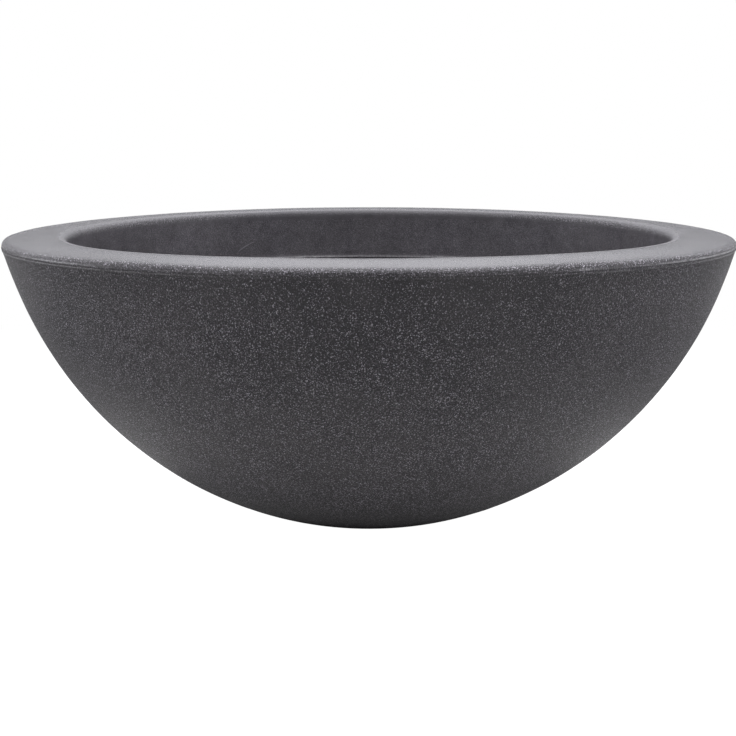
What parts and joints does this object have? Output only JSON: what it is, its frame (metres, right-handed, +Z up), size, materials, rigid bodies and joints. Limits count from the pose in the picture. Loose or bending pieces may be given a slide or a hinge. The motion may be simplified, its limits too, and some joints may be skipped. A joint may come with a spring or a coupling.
{
  "type": "bowl planter",
  "caption": "Low round bowl planter: thin concrete shell, wide flat rim with a return skirt, drain hole with a lift-out rubber stopper, and rubber floor pads.",
  "frame": {"origin": "centre of the footprint, on the floor under the pads", "axes": "+Z up along the bowl's axis, through the drain hole; +X to the right and +Y away from the viewer in the picture's view"},
  "size_m": [0.6, 0.6, 0.24],
  "materials": {
    "shell_concrete": "matte",
    "rim_concrete": "matte",
    "plug_rubber": "matte",
    "pad_rubber": "matte"
  },
  "bodies": {
    "bowl": {"bowl_body": "shell_concrete", "rim_cap": "rim_concrete", "foot_pads": "pad_rubber"},
    "plug": {"drain_plug": "plug_rubber"}
  },
  "joints": [
    {"name": "plug_lift", "type": "slide", "parent": "bowl", "child": "plug", "axis": [0, 0, 1], "range_m": [0, 0.25]}
  ]
}
